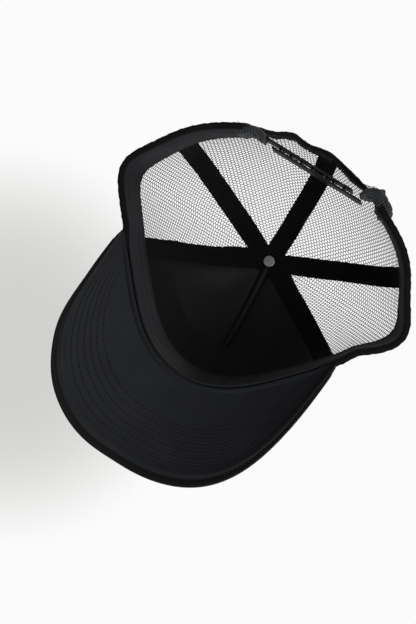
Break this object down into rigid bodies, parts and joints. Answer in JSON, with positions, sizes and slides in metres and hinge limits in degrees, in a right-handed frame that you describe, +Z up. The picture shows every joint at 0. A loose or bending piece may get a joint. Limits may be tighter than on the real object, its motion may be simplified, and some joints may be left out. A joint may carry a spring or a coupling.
{
  "type": "trucker mesh cap",
  "caption": "Five-panel cap with a foam-backed front, mesh sides and back, a curved bound visor, a sweatband and a two-strap snap closure.",
  "frame": {"origin": "centre of the bounding box in plan, on the surface that the cap stands on", "axes": "+Z up, -Y towards the visor, +X to the wearer's left; the cap leans back 10.9 degrees from its rim plane, standing on the back of its rim and the sides of its visor"},
  "size_m": [0.2252, 0.261, 0.1056],
  "materials": {
    "crown_cloth": "matt black twill",
    "foam_lining": "soft black foam with a fabric face",
    "mesh": "open knitted nylon mesh, slightly glossy threads",
    "seam_tape": "matt black woven tape",
    "sweatband_cloth": "dark charcoal twill",
    "binding_cloth": "black folded cloth",
    "visor_cloth": "black cotton twill, stitched",
    "visor_board": "moulded sheet",
    "strap_plastic": "satin black moulded plastic",
    "tab_webbing": "dark grey woven cloth",
    "rivet_steel": "satin steel"
  },
  "bodies": {
    "cap": {"front_panel": "crown_cloth", "button_cover": "crown_cloth", "front_foam_lining": "foam_lining", "mesh_side_left": "mesh", "mesh_back_left": "mesh", "mesh_back_right": "mesh", "mesh_side_right": "mesh", "mesh_hem_left": "mesh", "mesh_hem_right": "mesh", "front_dart_seam": "seam_tape", "tape_front_left": "seam_tape", "tape_side_left": "seam_tape", "tape_back": "seam_tape", "tape_side_right": "seam_tape", "tape_front_right": "seam_tape", "sweatband": "sweatband_cloth", "back_arch_binding": "binding_cloth", "visor_binding": "binding_cloth", "visor_top_fabric": "visor_cloth", "visor_under_fabric": "visor_cloth", "visor_board": "visor_board", "strap_tab_left": "tab_webbing", "strap_tab_right": "tab_webbing", "button_rivet": "rivet_steel", "button_shell": "rivet_steel"},
    "hole_strap": {"snap_strap_holes": "strap_plastic"},
    "peg_strap": {"snap_strap_pegs": "strap_plastic"}
  },
  "joints": [
    {"name": "hole_strap_flex", "type": "hinge", "parent": "cap", "child": "hole_strap", "pos_m": [0.04, 0.11043, 0.01207], "axis": [0, 0.1891, 0.982], "range_deg": [-50, 0], "stiffness_Nm_per_rad": 0.01},
    {"name": "peg_strap_flex", "type": "hinge", "parent": "cap", "child": "peg_strap", "pos_m": [-0.04, 0.10709, 0.01271], "axis": [0, 0.1891, 0.982], "range_deg": [-50, 0], "stiffness_Nm_per_rad": 0.01}
  ]
}
